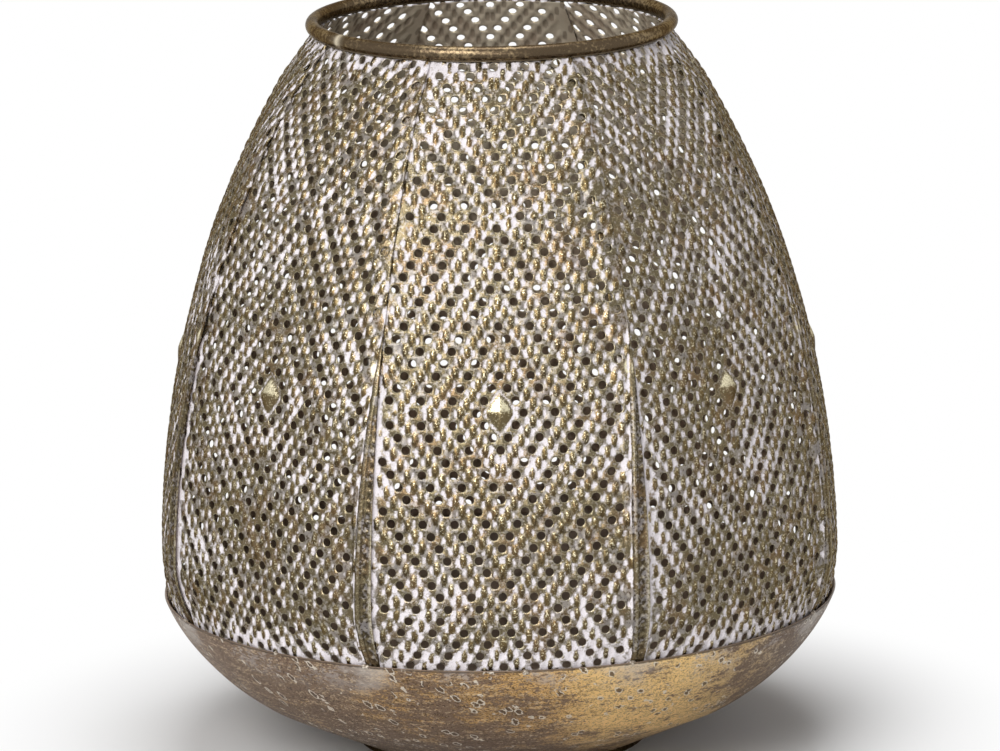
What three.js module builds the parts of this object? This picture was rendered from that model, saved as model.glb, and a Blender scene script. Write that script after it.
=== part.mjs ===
// A pierced metal hurricane candle holder: eight pressed petals of thin sheet stand in a spun bowl,
// lap over one another at their seams, and carry a round wire ring at the mouth.
// Millimetres, +Z up. The origin is the centre of the foot's underside, and the first petal faces -Y.
import * as THREE from "three";

// Foot ring, a flat strip bent to a hoop and soldered under the bowl.
const FOOT_OUTER_RADIUS = 52;
const FOOT_WIDTH = 4;
const FOOT_HEIGHT = 2.6;
const FOOT_CHAMFER = 0.5;

// Bowl, spun from thicker sheet: a flat floor, a straight flank and a rounded shoulder up to the lip.
const BOWL_SHEET = 0.8;
const BOWL_FLOOR_MARGIN = 1.5; // the floor's edge beyond the foot ring
const BOWL_FLANK_ANGLE = 24.85; // degrees above level
const BOWL_SHOULDER_RADIUS = 87.8; // where the flank starts to curve
const BOWL_SHOULDER_LENGTH = 3;
const BOWL_LIP_INSET = 0.35; // the lip lies this much inside the petals' widest part
const BOWL_LIP_HEIGHT = 54.4;
const BOWL_LIP_LENGTH = 22.8;
const BOWL_LIP_ANGLE = 22; // degrees out from upright

// Shade, the shape that all petals are pressed to, measured on its outer face.
const PETAL_COUNT = 8;
const PETAL_SHEET = 0.6;
const WIDEST_RADIUS = 120.45;
const WIDEST_HEIGHT = 70.7;
const WIDEST_LENGTH = 64.9; // how far the widest part holds its upright direction
const SHOULDER_LENGTH = 60.9; // how far the mouth's slope holds
const MOUTH_ANGLE = 37; // degrees in from upright
const MOUTH_OVERHANG = 0.1; // the petals' outer face beyond the middle of the wire
const TUCK_DEPTH = 2.8; // how deep the petals stand inside the lip
const TUCK_LENGTH = 6;
const CORNER_RISE = 0.03; // how much further out the seams lie than the petals' middles
const CORNER_FADE = 22; // length over which that rise dies out towards the lip and the mouth

// Mouth ring.
const RIM_WIRE_RADIUS = 2.5;
const RIM_RING_RADIUS = 63.1;
const RIM_CENTRE_HEIGHT = 258.9;

// Seams. Each petal's right edge is lifted and laps over the next petal's left edge.
const SEAM_OVERHANG = 2.85; // right edge past the seam line
const SEAM_UNDERLAP = 2.5; // left edge past the seam line, hidden under its neighbour
const LAP_WIDTH = 6.5; // lifted part of the right edge
const LAP_STEP = 1; // width of the step up to it
const LEFT_MARGIN = 6; // plain sheet along the left edge
const BUTT_HEIGHT = 5; // above the lip, the edges meet without lapping up to here
const LAP_START = 3; // and lap fully this much higher

// Pressed border: a rib at a fixed distance from the petal's middle, cut off where the petal narrows.
const RIB_WIDTH = 1.8;
const RIB_HEIGHT = 0.6;
const BORDER_WIDTH = 5.7;
const EDGE_LAND = 0.3; // least width that stays of each strip of the border

// Piercing: diamonds in a plain staggered grid, with the boss in the place of one. The real sheet has
// about eight small round holes for each of them, which together open about as much of it.
const BOSS_HEIGHT_ABOVE_FLOOR = 143.6;
const BOSS_WIDTH = 8.8;
const BOSS_LENGTH = 12;
const BOSS_RISE = 0.8;
const HOLE_WIDTH = 8.6;
const HOLE_LENGTH = 13.2;
const COLUMNS_ACROSS = 10.5; // columns of the grid that the petal's greatest width would hold
const ROWS_ABOVE_BOSS = 7; // rows of the grid, spaced evenly from the boss to the end of the field
const ROWS_BELOW_BOSS = 5;
const HOLE_MARGIN = 0.8; // least sheet between a hole and the plain borders
const TOP_BORDER = 7; // plain border under the mouth ring

// Fits and fineness.
const SOLDER_GAP = 0.3; // between any two pieces that are soldered together
const TUCK_CLEARANCE = 0.4; // between the petals and the lip's inner face
const BOWL_SEGMENTS = 60;
const RING_SEGMENTS = 48;
const WIRE_SIDES = 8;
const CURVE_STEPS = 6;
const FIELD_ROWS = 9;
const FIELD_COLUMNS = 6;
const SLOPE_REACH = 1; // how far each way the shade's slope is measured
const SEARCH_LIMIT = 1e-4; // how closely a height is found along the shade
const ANGLE_LIMIT = 1e-6; // turns an edge only for a gain that is more than rounding

// Finishes: colour, roughness and metalness.
const PETAL_FINISH = [0x9a8452, 0.5, 0.6];
const BOWL_FINISH = [0x6f5c3e, 0.65, 0.6];
const MOUTH_RING_FINISH = [0x5b4a2c, 0.4, 0.8];
const FOOT_FINISH = [0x5b4a2c, 0.6, 0.7];

const radians = THREE.MathUtils.degToRad;
const clamp = THREE.MathUtils.clamp;
const seamAngle = Math.PI / PETAL_COUNT;

// A point in the plane of a profile: x is the radius and y the height.
const at = (radius, height) => new THREE.Vector2(radius, height);

// The point reached from a start by going a length at an angle from upright, outwards when positive.
const towards = (start, length, angle) =>
  at(start.x + length * Math.sin(angle), start.y + length * Math.cos(angle));

// Bowl

const bowlUnderside = FOOT_HEIGHT + SOLDER_GAP;
const floorEdge = at(FOOT_OUTER_RADIUS + BOWL_FLOOR_MARGIN, bowlUnderside);
const flankDirection = radians(90 - BOWL_FLANK_ANGLE);
const flankRun = (BOWL_SHOULDER_RADIUS - floorEdge.x) / Math.sin(flankDirection);
const flankEnd = towards(floorEdge, flankRun, flankDirection);
const lip = at(WIDEST_RADIUS - BOWL_LIP_INSET, BOWL_LIP_HEIGHT);
const lipAngle = radians(BOWL_LIP_ANGLE);

function bowlOuterProfile() {
  const shoulder = new THREE.CubicBezierCurve(
    flankEnd,
    towards(flankEnd, BOWL_SHOULDER_LENGTH, flankDirection),
    towards(lip, -BOWL_LIP_LENGTH, lipAngle),
    lip,
  );
  return [at(0, bowlUnderside), floorEdge, ...shoulder.getSpacedPoints(CURVE_STEPS)];
}

// The same line moved inwards by the thickness of the sheet, square to each stretch and mitred at its
// corners. Past the axis it goes on as its own mirror image.
function offsetInwards(profile, thickness) {
  const inwardNormal = (from, to) => at(from.y - to.y, to.x - from.x).normalize();
  return profile.map((point, index) => {
    const before = profile[index - 1] ?? at(-profile[1].x, profile[1].y);
    const normal = inwardNormal(before, point);
    const after = profile[index + 1];
    const next = after ? inwardNormal(point, after) : normal;
    const mitre = normal.clone().add(next).normalize();
    return point.clone().addScaledVector(mitre, thickness / mitre.dot(normal));
  });
}

// A closed profile turned about the upright axis.
function turned(profile, segments) {
  return new THREE.LatheGeometry(profile, segments).rotateX(Math.PI / 2);
}

function bowlGeometry() {
  const outer = bowlOuterProfile();
  const inner = offsetInwards(outer, BOWL_SHEET);
  return turned([...outer, ...inner.reverse()], BOWL_SEGMENTS);
}

// Foot and mouth rings

function footGeometry() {
  const inner = FOOT_OUTER_RADIUS - FOOT_WIDTH;
  const section = [
    at(inner, 0),
    at(FOOT_OUTER_RADIUS - FOOT_CHAMFER, 0),
    at(FOOT_OUTER_RADIUS, FOOT_CHAMFER),
    at(FOOT_OUTER_RADIUS, FOOT_HEIGHT),
    at(inner, FOOT_HEIGHT),
    at(inner, 0),
  ];
  return turned(section, RING_SEGMENTS);
}

function rimGeometry() {
  return new THREE.TorusGeometry(RIM_RING_RADIUS, RIM_WIRE_RADIUS, WIRE_SIDES, RING_SEGMENTS).translate(
    0,
    0,
    RIM_CENTRE_HEIGHT,
  );
}

// Shade: a line from inside the lip, out to the widest part and in to the underside of the wire.

const tuckRadius =
  lip.x - BOWL_SHEET / Math.cos(lipAngle) - TUCK_DEPTH * Math.tan(lipAngle) - TUCK_CLEARANCE;
const tuckFoot = at(tuckRadius, lip.y - TUCK_DEPTH);
const widest = at(WIDEST_RADIUS, WIDEST_HEIGHT);
const mouth = at(
  RIM_RING_RADIUS + MOUTH_OVERHANG,
  RIM_CENTRE_HEIGHT - RIM_WIRE_RADIUS - SOLDER_GAP,
);
const mouthAngle = radians(MOUTH_ANGLE);

const shadeLine = new THREE.CurvePath();
shadeLine.add(
  new THREE.CubicBezierCurve(
    tuckFoot,
    towards(tuckFoot, TUCK_LENGTH, lipAngle),
    towards(widest, -TUCK_LENGTH, 0),
    widest,
  ),
);
shadeLine.add(
  new THREE.CubicBezierCurve(
    widest,
    towards(widest, WIDEST_LENGTH, 0),
    towards(mouth, -SHOULDER_LENGTH, -mouthAngle),
    mouth,
  ),
);
const shadeLength = shadeLine.getLength();
const shadePoint = (along) => shadeLine.getPoint(along / shadeLength);

// How far along the shade's line a height lies, found by halving.
function alongAtHeight(height) {
  let low = 0;
  let high = shadeLength;
  while (high - low > SEARCH_LIMIT) {
    const middle = (low + high) / 2;
    if (shadePoint(middle).y < height) low = middle;
    else high = middle;
  }
  return low;
}

const lipAlong = alongAtHeight(lip.y);
const buttAlong = lipAlong + BUTT_HEIGHT;
const lapAlong = buttAlong + LAP_START;
const fieldTop = shadeLength - TOP_BORDER;
const lowestRow = buttAlong + HOLE_MARGIN + HOLE_LENGTH / 2;
const highestRow = fieldTop - HOLE_MARGIN - HOLE_LENGTH / 2;
const bossAlong = alongAtHeight(BOSS_HEIGHT_ABOVE_FLOOR);
const pitchBelow = (bossAlong - lowestRow) / ROWS_BELOW_BOSS;
const pitchAbove = (highestRow - bossAlong) / ROWS_ABOVE_BOSS;

// The shade is round at the lip and at the mouth, and eight-sided with soft corners between them.
function cornerRise(along) {
  const fromLip = THREE.MathUtils.smoothstep(along, lipAlong, lipAlong + CORNER_FADE);
  const fromMouth = THREE.MathUtils.smoothstep(shadeLength - along, 0, CORNER_FADE);
  return CORNER_RISE * fromLip * fromMouth;
}

// Length round the shade for one radian, at a place along its line.
const radianLength = (along) => shadePoint(along).x * (1 + cornerRise(along) / 2);
const halfWidth = (along) => seamAngle * radianLength(along);
const rightEdge = (along) => halfWidth(along) + SEAM_OVERHANG;
const widestAlong = alongAtHeight(WIDEST_HEIGHT);
const borderStart = rightEdge(widestAlong) - BORDER_WIDTH;
const columnPitch = (2 * halfWidth(widestAlong)) / COLUMNS_ACROSS;

// Above the lip the left edge runs on under the neighbour, and below it the two edges only meet.
function leftEdge(along) {
  const share = clamp((along - buttAlong) / LAP_START, 0, 1);
  const meeting = SEAM_OVERHANG + SOLDER_GAP;
  return -halfWidth(along) + THREE.MathUtils.lerp(meeting, -SEAM_UNDERLAP, share);
}

// What stands off the petal's face is pressed flat inside the lip and reaches its full height above it.
const reliefShare = (along) =>
  clamp((along - lipAlong - SOLDER_GAP) / (BUTT_HEIGHT - SOLDER_GAP), 0, 1);
const lapLift = (along) => reliefShare(along) * (PETAL_SHEET + SOLDER_GAP);

// Where a point of the flat petal ends up: across its width, along its line and raised off its face.
function pressed(across, along, raised) {
  const line = shadePoint(along);
  const before = shadePoint(Math.max(along - SLOPE_REACH, 0));
  const after = shadePoint(Math.min(along + SLOPE_REACH, shadeLength));
  const way = after.sub(before).normalize();
  const turn = across / radianLength(along);
  const corner = (cornerRise(along) * (1 - Math.cos(PETAL_COUNT * turn))) / 2;
  const radius = line.x * (1 + corner) + way.y * raised;
  const height = line.y - way.x * raised;
  return new THREE.Vector3(radius * Math.sin(turn), -radius * Math.cos(turn), height);
}

// A sheet's outer face as a flat net: points that hold across, along and raised, and the triangles on them.
class Net {
  points = [];
  faces = [];
  places = new Map();

  point(across, along, raised = 0) {
    const key = across.toFixed(3) + " " + along.toFixed(3);
    if (!this.places.has(key)) {
      this.places.set(key, this.points.length);
      this.points.push({ across, along, raised });
    }
    return this.places.get(key);
  }

  // Fills the space between two columns of points that climb side by side.
  strip(left, right) {
    for (let row = 0; row + 1 < left.length; row++) {
      this.faces.push([left[row], right[row], right[row + 1]]);
      this.faces.push([left[row], right[row + 1], left[row + 1]]);
    }
  }

  // Fills an outline, less its holes, with triangles that are as even as they can be.
  fill(outline, holes) {
    const flat = (index) => at(this.points[index].across, this.points[index].along);
    const order = [outline, ...holes].flat();
    const found = THREE.ShapeUtils.triangulateShape(
      outline.map(flat),
      holes.map((hole) => hole.map(flat)),
    );
    const faces = found.map((face) => face.map((corner) => order[corner]));
    this.faces.push(...evened(faces, flat));
  }
}

// The angle at a corner between the directions to two other points.
function cornerAngle(corner, first, second) {
  const toFirst = first.clone().sub(corner);
  const toSecond = second.clone().sub(corner);
  return Math.acos(clamp(toFirst.normalize().dot(toSecond.normalize()), -1, 1));
}

// Turns the shared edge of two triangles wherever that makes both less pointed, until none is left to turn.
function evened(faces, flat) {
  const owners = new Map();
  const claim = (face) => face.forEach((a, i) => owners.set(a + " " + face[(i + 1) % 3], face));
  faces.forEach(claim);
  const waiting = [...owners.keys()];
  while (waiting.length) {
    const [a, b] = waiting.pop().split(" ").map(Number);
    const near = owners.get(a + " " + b);
    const far = owners.get(b + " " + a);
    if (!near || !far) continue;
    const c = near.find((corner) => corner !== a && corner !== b);
    const d = far.find((corner) => corner !== a && corner !== b);
    const [pa, pb, pc, pd] = [a, b, c, d].map(flat);
    if (cornerAngle(pc, pa, pb) + cornerAngle(pd, pa, pb) < Math.PI + ANGLE_LIMIT) continue;
    owners.delete(a + " " + b);
    owners.delete(b + " " + a);
    near.splice(0, 3, a, d, c);
    far.splice(0, 3, d, b, c);
    claim(near);
    claim(far);
    waiting.push(a + " " + d, d + " " + b, b + " " + c, c + " " + a);
  }
  return faces;
}

// The border's lines across the right edge, from the field's side outwards, each with its lift.
function borderLines(along) {
  const edge = rightEdge(along);
  const lift = lapLift(along);
  const crest = Math.min(borderStart + RIB_WIDTH / 2, edge - 2 * EDGE_LAND);
  const ribRise = RIB_HEIGHT * reliefShare(along) * clamp((edge - crest) / RIB_WIDTH, 0, 1);
  return [
    [edge - LAP_WIDTH - LAP_STEP, 0],
    [edge - LAP_WIDTH, lift],
    [Math.min(borderStart, edge - 3 * EDGE_LAND), lift],
    [crest, lift + ribRise],
    [Math.min(borderStart + RIB_WIDTH, edge - EDGE_LAND), lift],
    [edge, lift],
  ];
}

// The four corners of a diamond, clockwise on the flat sheet, because a hole runs the other way round.
function diamond(net, across, along, width, length) {
  return [
    net.point(across - width / 2, along),
    net.point(across, along + length / 2),
    net.point(across + width / 2, along),
    net.point(across, along - length / 2),
  ];
}

function piercings(net, left, right) {
  const holes = [];
  const columns = Math.ceil(COLUMNS_ACROSS / 2);
  const room = HOLE_WIDTH / 2 + HOLE_MARGIN;
  for (let row = -ROWS_BELOW_BOSS; row <= ROWS_ABOVE_BOSS; row++) {
    const along = bossAlong + row * (row < 0 ? pitchBelow : pitchAbove);
    const reach = Math.min(-left(along), right(along)) - room;
    for (let column = -columns; column <= columns; column++) {
      const across = column * columnPitch;
      const staggered = (row + column) % 2 === 0;
      const onBoss = row === 0 && column === 0;
      if (Math.abs(across) < reach && staggered && !onBoss) {
        holes.push(diamond(net, across, along, HOLE_WIDTH, HOLE_LENGTH));
      }
    }
  }
  return holes;
}

// Petal: a plain foot, the pierced field between two plain edges, and a plain top.
function petalNet() {
  const net = new Net();
  const climb = (fieldTop - lapAlong) / FIELD_ROWS;
  const fieldRows = Array.from({ length: FIELD_ROWS + 1 }, (_, i) => lapAlong + i * climb);
  const rows = [0, lipAlong + SOLDER_GAP, buttAlong, ...fieldRows, shadeLength];
  const fieldLeft = (along) => leftEdge(along) + LEFT_MARGIN;
  const fieldRight = (along) => borderLines(along)[0][0];
  const column = (line) => rows.map((along) => net.point(...line(along)));

  const leftColumn = column((along) => [leftEdge(along), along]);
  const fieldLeftColumn = column((along) => [fieldLeft(along), along]);
  net.strip(leftColumn, fieldLeftColumn);
  const borders = borderLines(0).map((_, i) =>
    column((along) => {
      const [across, raised] = borderLines(along)[i];
      return [across, along, raised];
    }),
  );
  borders.slice(1).forEach((line, i) => net.strip(borders[i], line));

  const across = (share) => (along) => [
    THREE.MathUtils.lerp(fieldLeft(along), fieldRight(along), share),
    along,
  ];
  const shares = Array.from({ length: FIELD_COLUMNS + 1 }, (_, i) => i / FIELD_COLUMNS);
  const between = shares.map((share) => column(across(share)));
  const firstRow = rows.indexOf(buttAlong);
  const lastRow = rows.length - 2;
  between.slice(1).forEach((line, i) => {
    net.strip(between[i].slice(0, firstRow + 1), line.slice(0, firstRow + 1));
    net.strip(between[i].slice(lastRow), line.slice(lastRow));
  });

  const rightSide = borders[0].slice(firstRow, lastRow + 1);
  const leftSide = fieldLeftColumn.slice(firstRow, lastRow + 1).reverse();
  const lower = between.slice(1, -1).map((line) => line[firstRow]);
  const upper = between.slice(1, -1).map((line) => line[lastRow]);
  const outline = [...lower, ...rightSide, ...upper.reverse(), ...leftSide];
  const boss = diamond(net, 0, bossAlong, BOSS_WIDTH, BOSS_LENGTH);
  net.fill(outline, [boss, ...piercings(net, fieldLeft, fieldRight)]);
  const peak = net.point(0, bossAlong, BOSS_RISE);
  boss.forEach((corner, i) => net.faces.push([boss[(i + 1) % 4], corner, peak]));
  return net;
}

// Closes a net into sheet metal: the outer face, the same face set in by the thickness, and walls at
// every edge.
function sheetGeometry(net, thickness) {
  const outer = net.points.map((p) => pressed(p.across, p.along, p.raised));
  const inner = net.points.map((p) => pressed(p.across, p.along, p.raised - thickness));
  const corners = [];
  const add = (...triangle) => corners.push(...triangle);
  const edges = new Set(net.faces.flatMap((f) => f.map((a, i) => a + " " + f[(i + 1) % 3])));
  for (const [a, b, c] of net.faces) {
    add(outer[a], outer[b], outer[c]);
    add(inner[a], inner[c], inner[b]);
  }
  for (const edge of edges) {
    const [a, b] = edge.split(" ").map(Number);
    if (edges.has(b + " " + a)) continue;
    add(outer[a], inner[a], inner[b]);
    add(outer[a], inner[b], outer[b]);
  }
  const geometry = new THREE.BufferGeometry().setFromPoints(corners);
  geometry.computeVertexNormals();
  return geometry;
}

// Assembly

function piece(name, geometry, [color, roughness, metalness]) {
  const material = new THREE.MeshStandardMaterial({ color, roughness, metalness });
  const mesh = new THREE.Mesh(geometry, material);
  mesh.name = name;
  return mesh;
}

const holder = new THREE.Group();
holder.add(piece("foot_ring", footGeometry(), FOOT_FINISH));
holder.add(piece("base_bowl", bowlGeometry(), BOWL_FINISH));
holder.add(piece("rim_wire_ring", rimGeometry(), MOUTH_RING_FINISH));

const petal = sheetGeometry(petalNet(), PETAL_SHEET);
for (let place = 0; place < PETAL_COUNT; place++) {
  const mesh = piece("petal_panel_" + (place + 1), petal, PETAL_FINISH);
  mesh.rotation.z = 2 * seamAngle * place;
  holder.add(mesh);
}

export default holder;
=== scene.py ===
# %% [markdown]
# # A pierced metal hurricane candle holder
#
# Eight petals of thin sheet are pressed with diamonds of small upright grains, pierced with round
# holes, bent and soldered edge over edge into a shade. The shade stands in a spun bowl, and a round
# wire ring closes its mouth. This script loads the measured part first, because every piece made
# here has to lie exactly where the measured one does.

import math

import bmesh
import bpy
import numpy as np
from mathutils import Matrix, Vector, noise


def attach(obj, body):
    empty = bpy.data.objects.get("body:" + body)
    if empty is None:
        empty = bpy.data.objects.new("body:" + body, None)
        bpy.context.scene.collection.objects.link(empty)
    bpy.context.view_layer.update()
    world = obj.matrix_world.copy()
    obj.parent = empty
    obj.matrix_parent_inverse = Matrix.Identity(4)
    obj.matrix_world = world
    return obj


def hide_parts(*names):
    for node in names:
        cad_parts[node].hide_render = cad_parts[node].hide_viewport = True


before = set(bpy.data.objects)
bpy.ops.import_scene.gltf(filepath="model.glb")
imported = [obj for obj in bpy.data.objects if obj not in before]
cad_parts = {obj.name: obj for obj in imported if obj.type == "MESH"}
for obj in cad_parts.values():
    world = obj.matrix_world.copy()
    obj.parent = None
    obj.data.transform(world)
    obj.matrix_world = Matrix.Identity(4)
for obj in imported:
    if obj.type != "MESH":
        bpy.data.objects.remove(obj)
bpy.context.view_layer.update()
print("nodes:", sorted(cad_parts))

# %% [markdown]
# ## Sizes
#
# The sizes are the real ones in millimetres, the same as in the measured part. Everything is
# modelled in millimetres, where the numbers are easy to read, and scaled to metres at the end.

# %% Sizes of the shade
METRES = 0.001
PETAL_COUNT = 8
SEAM_ANGLE = math.pi / PETAL_COUNT
SHEET = 0.5
WIDEST_RADIUS, WIDEST_HEIGHT = 120.45, 70.7
MOUTH_RADIUS, MOUTH_HEIGHT = 63.2, 256.1
MOUTH_SLOPE = math.radians(37)
LIP_RADIUS, LIP_HEIGHT = 120.1, 54.4
LIP_SLOPE = math.radians(22)
BOWL_SHEET = 0.8
TUCK_DEPTH, TUCK_CLEARANCE = 2.8, 0.4
BOSS_HEIGHT = 143.6

# %% [markdown]
# ## The line of the shade
#
# From the side, the shade is one smooth line: from inside the bowl's lip out to the widest part, and
# then in to the mouth. Every later step asks for the place at some length along the line, so two
# cubic curves are sampled closely once, into a table, and no curve object is needed.


# %% The shade's line
def curve(start, start_handle, end_handle, end, steps=200):
    """Points of a cubic Bezier curve in the plane of radius and height."""
    t = np.linspace(0, 1, steps + 1)[:, None]
    ends = (1 - t) ** 3 * np.array(start) + t**3 * np.array(end)
    handles = 3 * (1 - t) ** 2 * t * np.array(start_handle) + 3 * (1 - t) * t**2 * np.array(end_handle)
    return ends + handles


def going(start, length, slope):
    """The point reached by going a length at a slope from upright, outwards when positive."""
    return start[0] + length * math.sin(slope), start[1] + length * math.cos(slope)


TUCK_HANDLE, WIDEST_HANDLE, MOUTH_HANDLE = 6, 64.9, 60.9
inside_lip = LIP_RADIUS - BOWL_SHEET / math.cos(LIP_SLOPE)
tuck_radius = inside_lip - TUCK_DEPTH * math.tan(LIP_SLOPE) - TUCK_CLEARANCE
tuck = (tuck_radius, LIP_HEIGHT - TUCK_DEPTH)
widest = (WIDEST_RADIUS, WIDEST_HEIGHT)
mouth = (MOUTH_RADIUS, MOUTH_HEIGHT)
lower = curve(tuck, going(tuck, TUCK_HANDLE, LIP_SLOPE), going(widest, -TUCK_HANDLE, 0), widest)
upper = curve(widest, going(widest, WIDEST_HANDLE, 0), going(mouth, -MOUTH_HANDLE, -MOUTH_SLOPE), mouth)
shade_line = np.vstack([lower, upper[1:]])
line_steps = np.linalg.norm(np.diff(shade_line, axis=0), axis=1)
line_lengths = np.concatenate([[0], np.cumsum(line_steps)])
shade_length = line_lengths[-1]


def line_radius(along):
    return np.interp(along, line_lengths, shade_line[:, 0])


def line_height(along):
    return np.interp(along, line_lengths, shade_line[:, 1])


def along_at(height):
    return float(np.interp(height, shade_line[:, 1], line_lengths))


lip_along = along_at(LIP_HEIGHT)
boss_along = along_at(BOSS_HEIGHT)
print("length along the shade:", round(float(shade_length), 1), "mm, boss at", round(boss_along, 1))

# %% [markdown]
# ## How a flat petal becomes a curved one
#
# Each petal starts as a flat sheet, with one direction across it and one along the shade's line. In
# the workshop it is pressed over a former. Here the same step is a formula that takes the flat
# place, and how far it stands off the sheet's face, and gives the place on the shade. The shade is
# round at the lip and the mouth, and a soft octagon between them, so the corners lie further out. A
# formula bends every hole and grain with the sheet, which a modifier could do less exactly.


# %% From flat to curved
CORNER_RISE, CORNER_FADE = 0.03, 22


def smoothstep(value, start, end):
    t = np.clip((value - start) / (end - start), 0, 1)
    return t * t * (3 - 2 * t)


def corner_rise(along):
    """How far the octagon's corners stand out, as a share of the radius."""
    from_lip = smoothstep(along, lip_along, lip_along + CORNER_FADE)
    from_mouth = smoothstep(shade_length - along, 0, CORNER_FADE)
    return CORNER_RISE * from_lip * from_mouth


def radian_length(along):
    return line_radius(along) * (1 + corner_rise(along) / 2)


def half_width(along):
    return SEAM_ANGLE * radian_length(along)


def pressed(across, along, raised):
    """Where flat places end up on the petal that faces the front."""
    radius_step = line_radius(along + 1) - line_radius(along - 1)
    height_step = line_height(along + 1) - line_height(along - 1)
    step = np.hypot(radius_step, height_step)
    turn = across / radian_length(along)
    corner = corner_rise(along) * (1 - np.cos(PETAL_COUNT * turn)) / 2
    radius = line_radius(along) * (1 + corner) + raised * height_step / step
    height = line_height(along) - raised * radius_step / step
    return np.stack([radius * np.sin(turn), -radius * np.cos(turn), height], axis=-1)


# %% [markdown]
# ## The outline of a petal
#
# A petal's right edge is lifted a little and laps over the next petal. Its left edge runs on under
# its neighbour, except close to the bowl, where there is no room and the edges only meet.

# %% The outline
OVERHANG, UNDERLAP = 2.85, 2.5
GAP = 0.3
BUTT_HEIGHT, LAP_START = 5, 3
LAP_WIDTH, LAP_STEP, LAP_LIFT = 6.5, 1.0, 0.9
BORDER_WIDTH = 5.7


def right_edge(along):
    return half_width(along) + OVERHANG


def left_edge(along):
    share = np.clip((along - lip_along - BUTT_HEIGHT) / LAP_START, 0, 1)
    meeting = OVERHANG + GAP
    return -half_width(along) + meeting - share * (meeting + UNDERLAP)


border_start = float(right_edge(along_at(WIDEST_HEIGHT))) - BORDER_WIDTH

# %% [markdown]
# ## The lattice of holes and grains
#
# The pattern is an old one: diamonds inside diamonds round a raised boss, folded back above and
# below like a kelim. Everything in it sits on one lattice. Counted in lattice steps from the boss,
# every fourth diamond is a row of round holes on a low ridge, and halfway between two such rows
# runs a row of upright grains, a little closer together than the holes are. Each grain has an
# upright dimple on its left and right, and what is left between them is a flat saddle.

# %% The lattice
COLUMN, ROW = 2.72, 4.22
RING_STEPS, FIRST_RING, FOLD_ROW = 4, 3, 16
HOLE_RADIUS = 1.5
COLUMN_CELLS, ROW_CELLS = 4, 6
LINE_SHIFT = 0.06
FIRST_GRAINS = np.array([0.35, 0, 0, 0.69, 0.32, 0.3, 0.3, 0.3, 0.3])
GRAIN_PITCH, PITCH_GROWTH = 0.74, 0.007
GRAIN_HALF_WIDTH, GRAIN_HALF_LENGTH = 1.0, 2.45
GRAIN_ROUNDING, TIP_GRAIN_SIZE = 0.7, 1.3
RIDGE_FLAT, RIDGE_FALL = 0.25, 0.9
DIMPLE_HALF_WIDTH, DIMPLE_HALF_LENGTH = 1.2, 2.3
DIMPLE_BESIDE, DIMPLE_ABOVE = 0.72, 0.12


def folded(rows):
    rows = np.abs(rows)
    return np.where(rows > FOLD_ROW, 2 * FOLD_ROW - rows, rows)


def bump(distance):
    """A round hump that is 1 where distance is 0 and falls to 0 where it is 1."""
    return 0.5 + 0.5 * np.cos(np.pi * np.clip(distance, 0, 1))


def ridges(across, along):
    """The low ridges that carry the holes, from 0 to 1."""
    steps = np.abs(across) / COLUMN + folded((along - boss_along) / ROW)
    phase = (steps - FIRST_RING) % RING_STEPS
    from_holes = np.minimum(phase, RING_STEPS - phase)
    return np.where(steps < FIRST_RING, 1, bump((from_holes - RIDGE_FLAT) / RIDGE_FALL))


def grains(across, along):
    """The grains and the dimples, from 0 to 1, and how far up or down each place is on its grain."""
    column = np.abs(across) / COLUMN
    rows = (along - boss_along) / ROW
    row = folded(rows)
    flip = np.where(np.abs(rows) > FOLD_ROW, -1, 1) * np.sign(rows)
    number = np.maximum(np.round((column + row + LINE_SHIFT - FIRST_RING) / RING_STEPS - 0.5), 0)
    line = FIRST_RING + RING_STEPS * (number + 0.5)
    pitch = GRAIN_PITCH + PITCH_GROWTH * line
    first = FIRST_GRAINS[np.clip(number, 0, len(FIRST_GRAINS) - 1).astype(int)]
    nearest = np.floor((column - first) / pitch)
    hump, hollow, way_up = np.zeros_like(column), np.zeros_like(column), np.zeros_like(column)
    for beside in (-2, -1, 0, 1, 2, 3):
        turn = nearest + beside
        place = first + pitch * turn
        real = (place > -0.01) & (line - place > -0.4)
        size = np.where(place < 0.01, TIP_GRAIN_SIZE, 1.0)
        sideways = (column - place) * COLUMN
        upwards = (row - (line - LINE_SHIFT - place)) * ROW
        near = (sideways / (size * GRAIN_HALF_WIDTH)) ** 2 + (upwards / (size * GRAIN_HALF_LENGTH)) ** 2
        this = np.where(real, np.clip(1 - near, 0, 1) ** GRAIN_ROUNDING, 0)
        way_up = np.where(this > hump, upwards / GRAIN_HALF_LENGTH * flip, way_up)
        hump = np.maximum(hump, this)
        for side in (-1, 1):
            away = (sideways - side * DIMPLE_BESIDE * size * COLUMN) / DIMPLE_HALF_WIDTH
            above = (upwards - side * DIMPLE_ABOVE * ROW) / DIMPLE_HALF_LENGTH
            hollow = np.maximum(hollow, np.where(real, bump(np.hypot(away, above)), 0))
    return hump, hollow, way_up


# %% [markdown]
# ## Stamping
#
# The stamped surface lies between two levels: the bottoms of the dimples, and 1 mm above them the
# tops of the grains, which are level with the measured part's face. Saddles and ridges lie between
# them. The boss is a low pyramid with rounded faces, in a shallow moat that holds paint. The border
# along the right edge has a smooth rib and a channel with small beads, and the whole edge steps up
# over the next petal.

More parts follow.
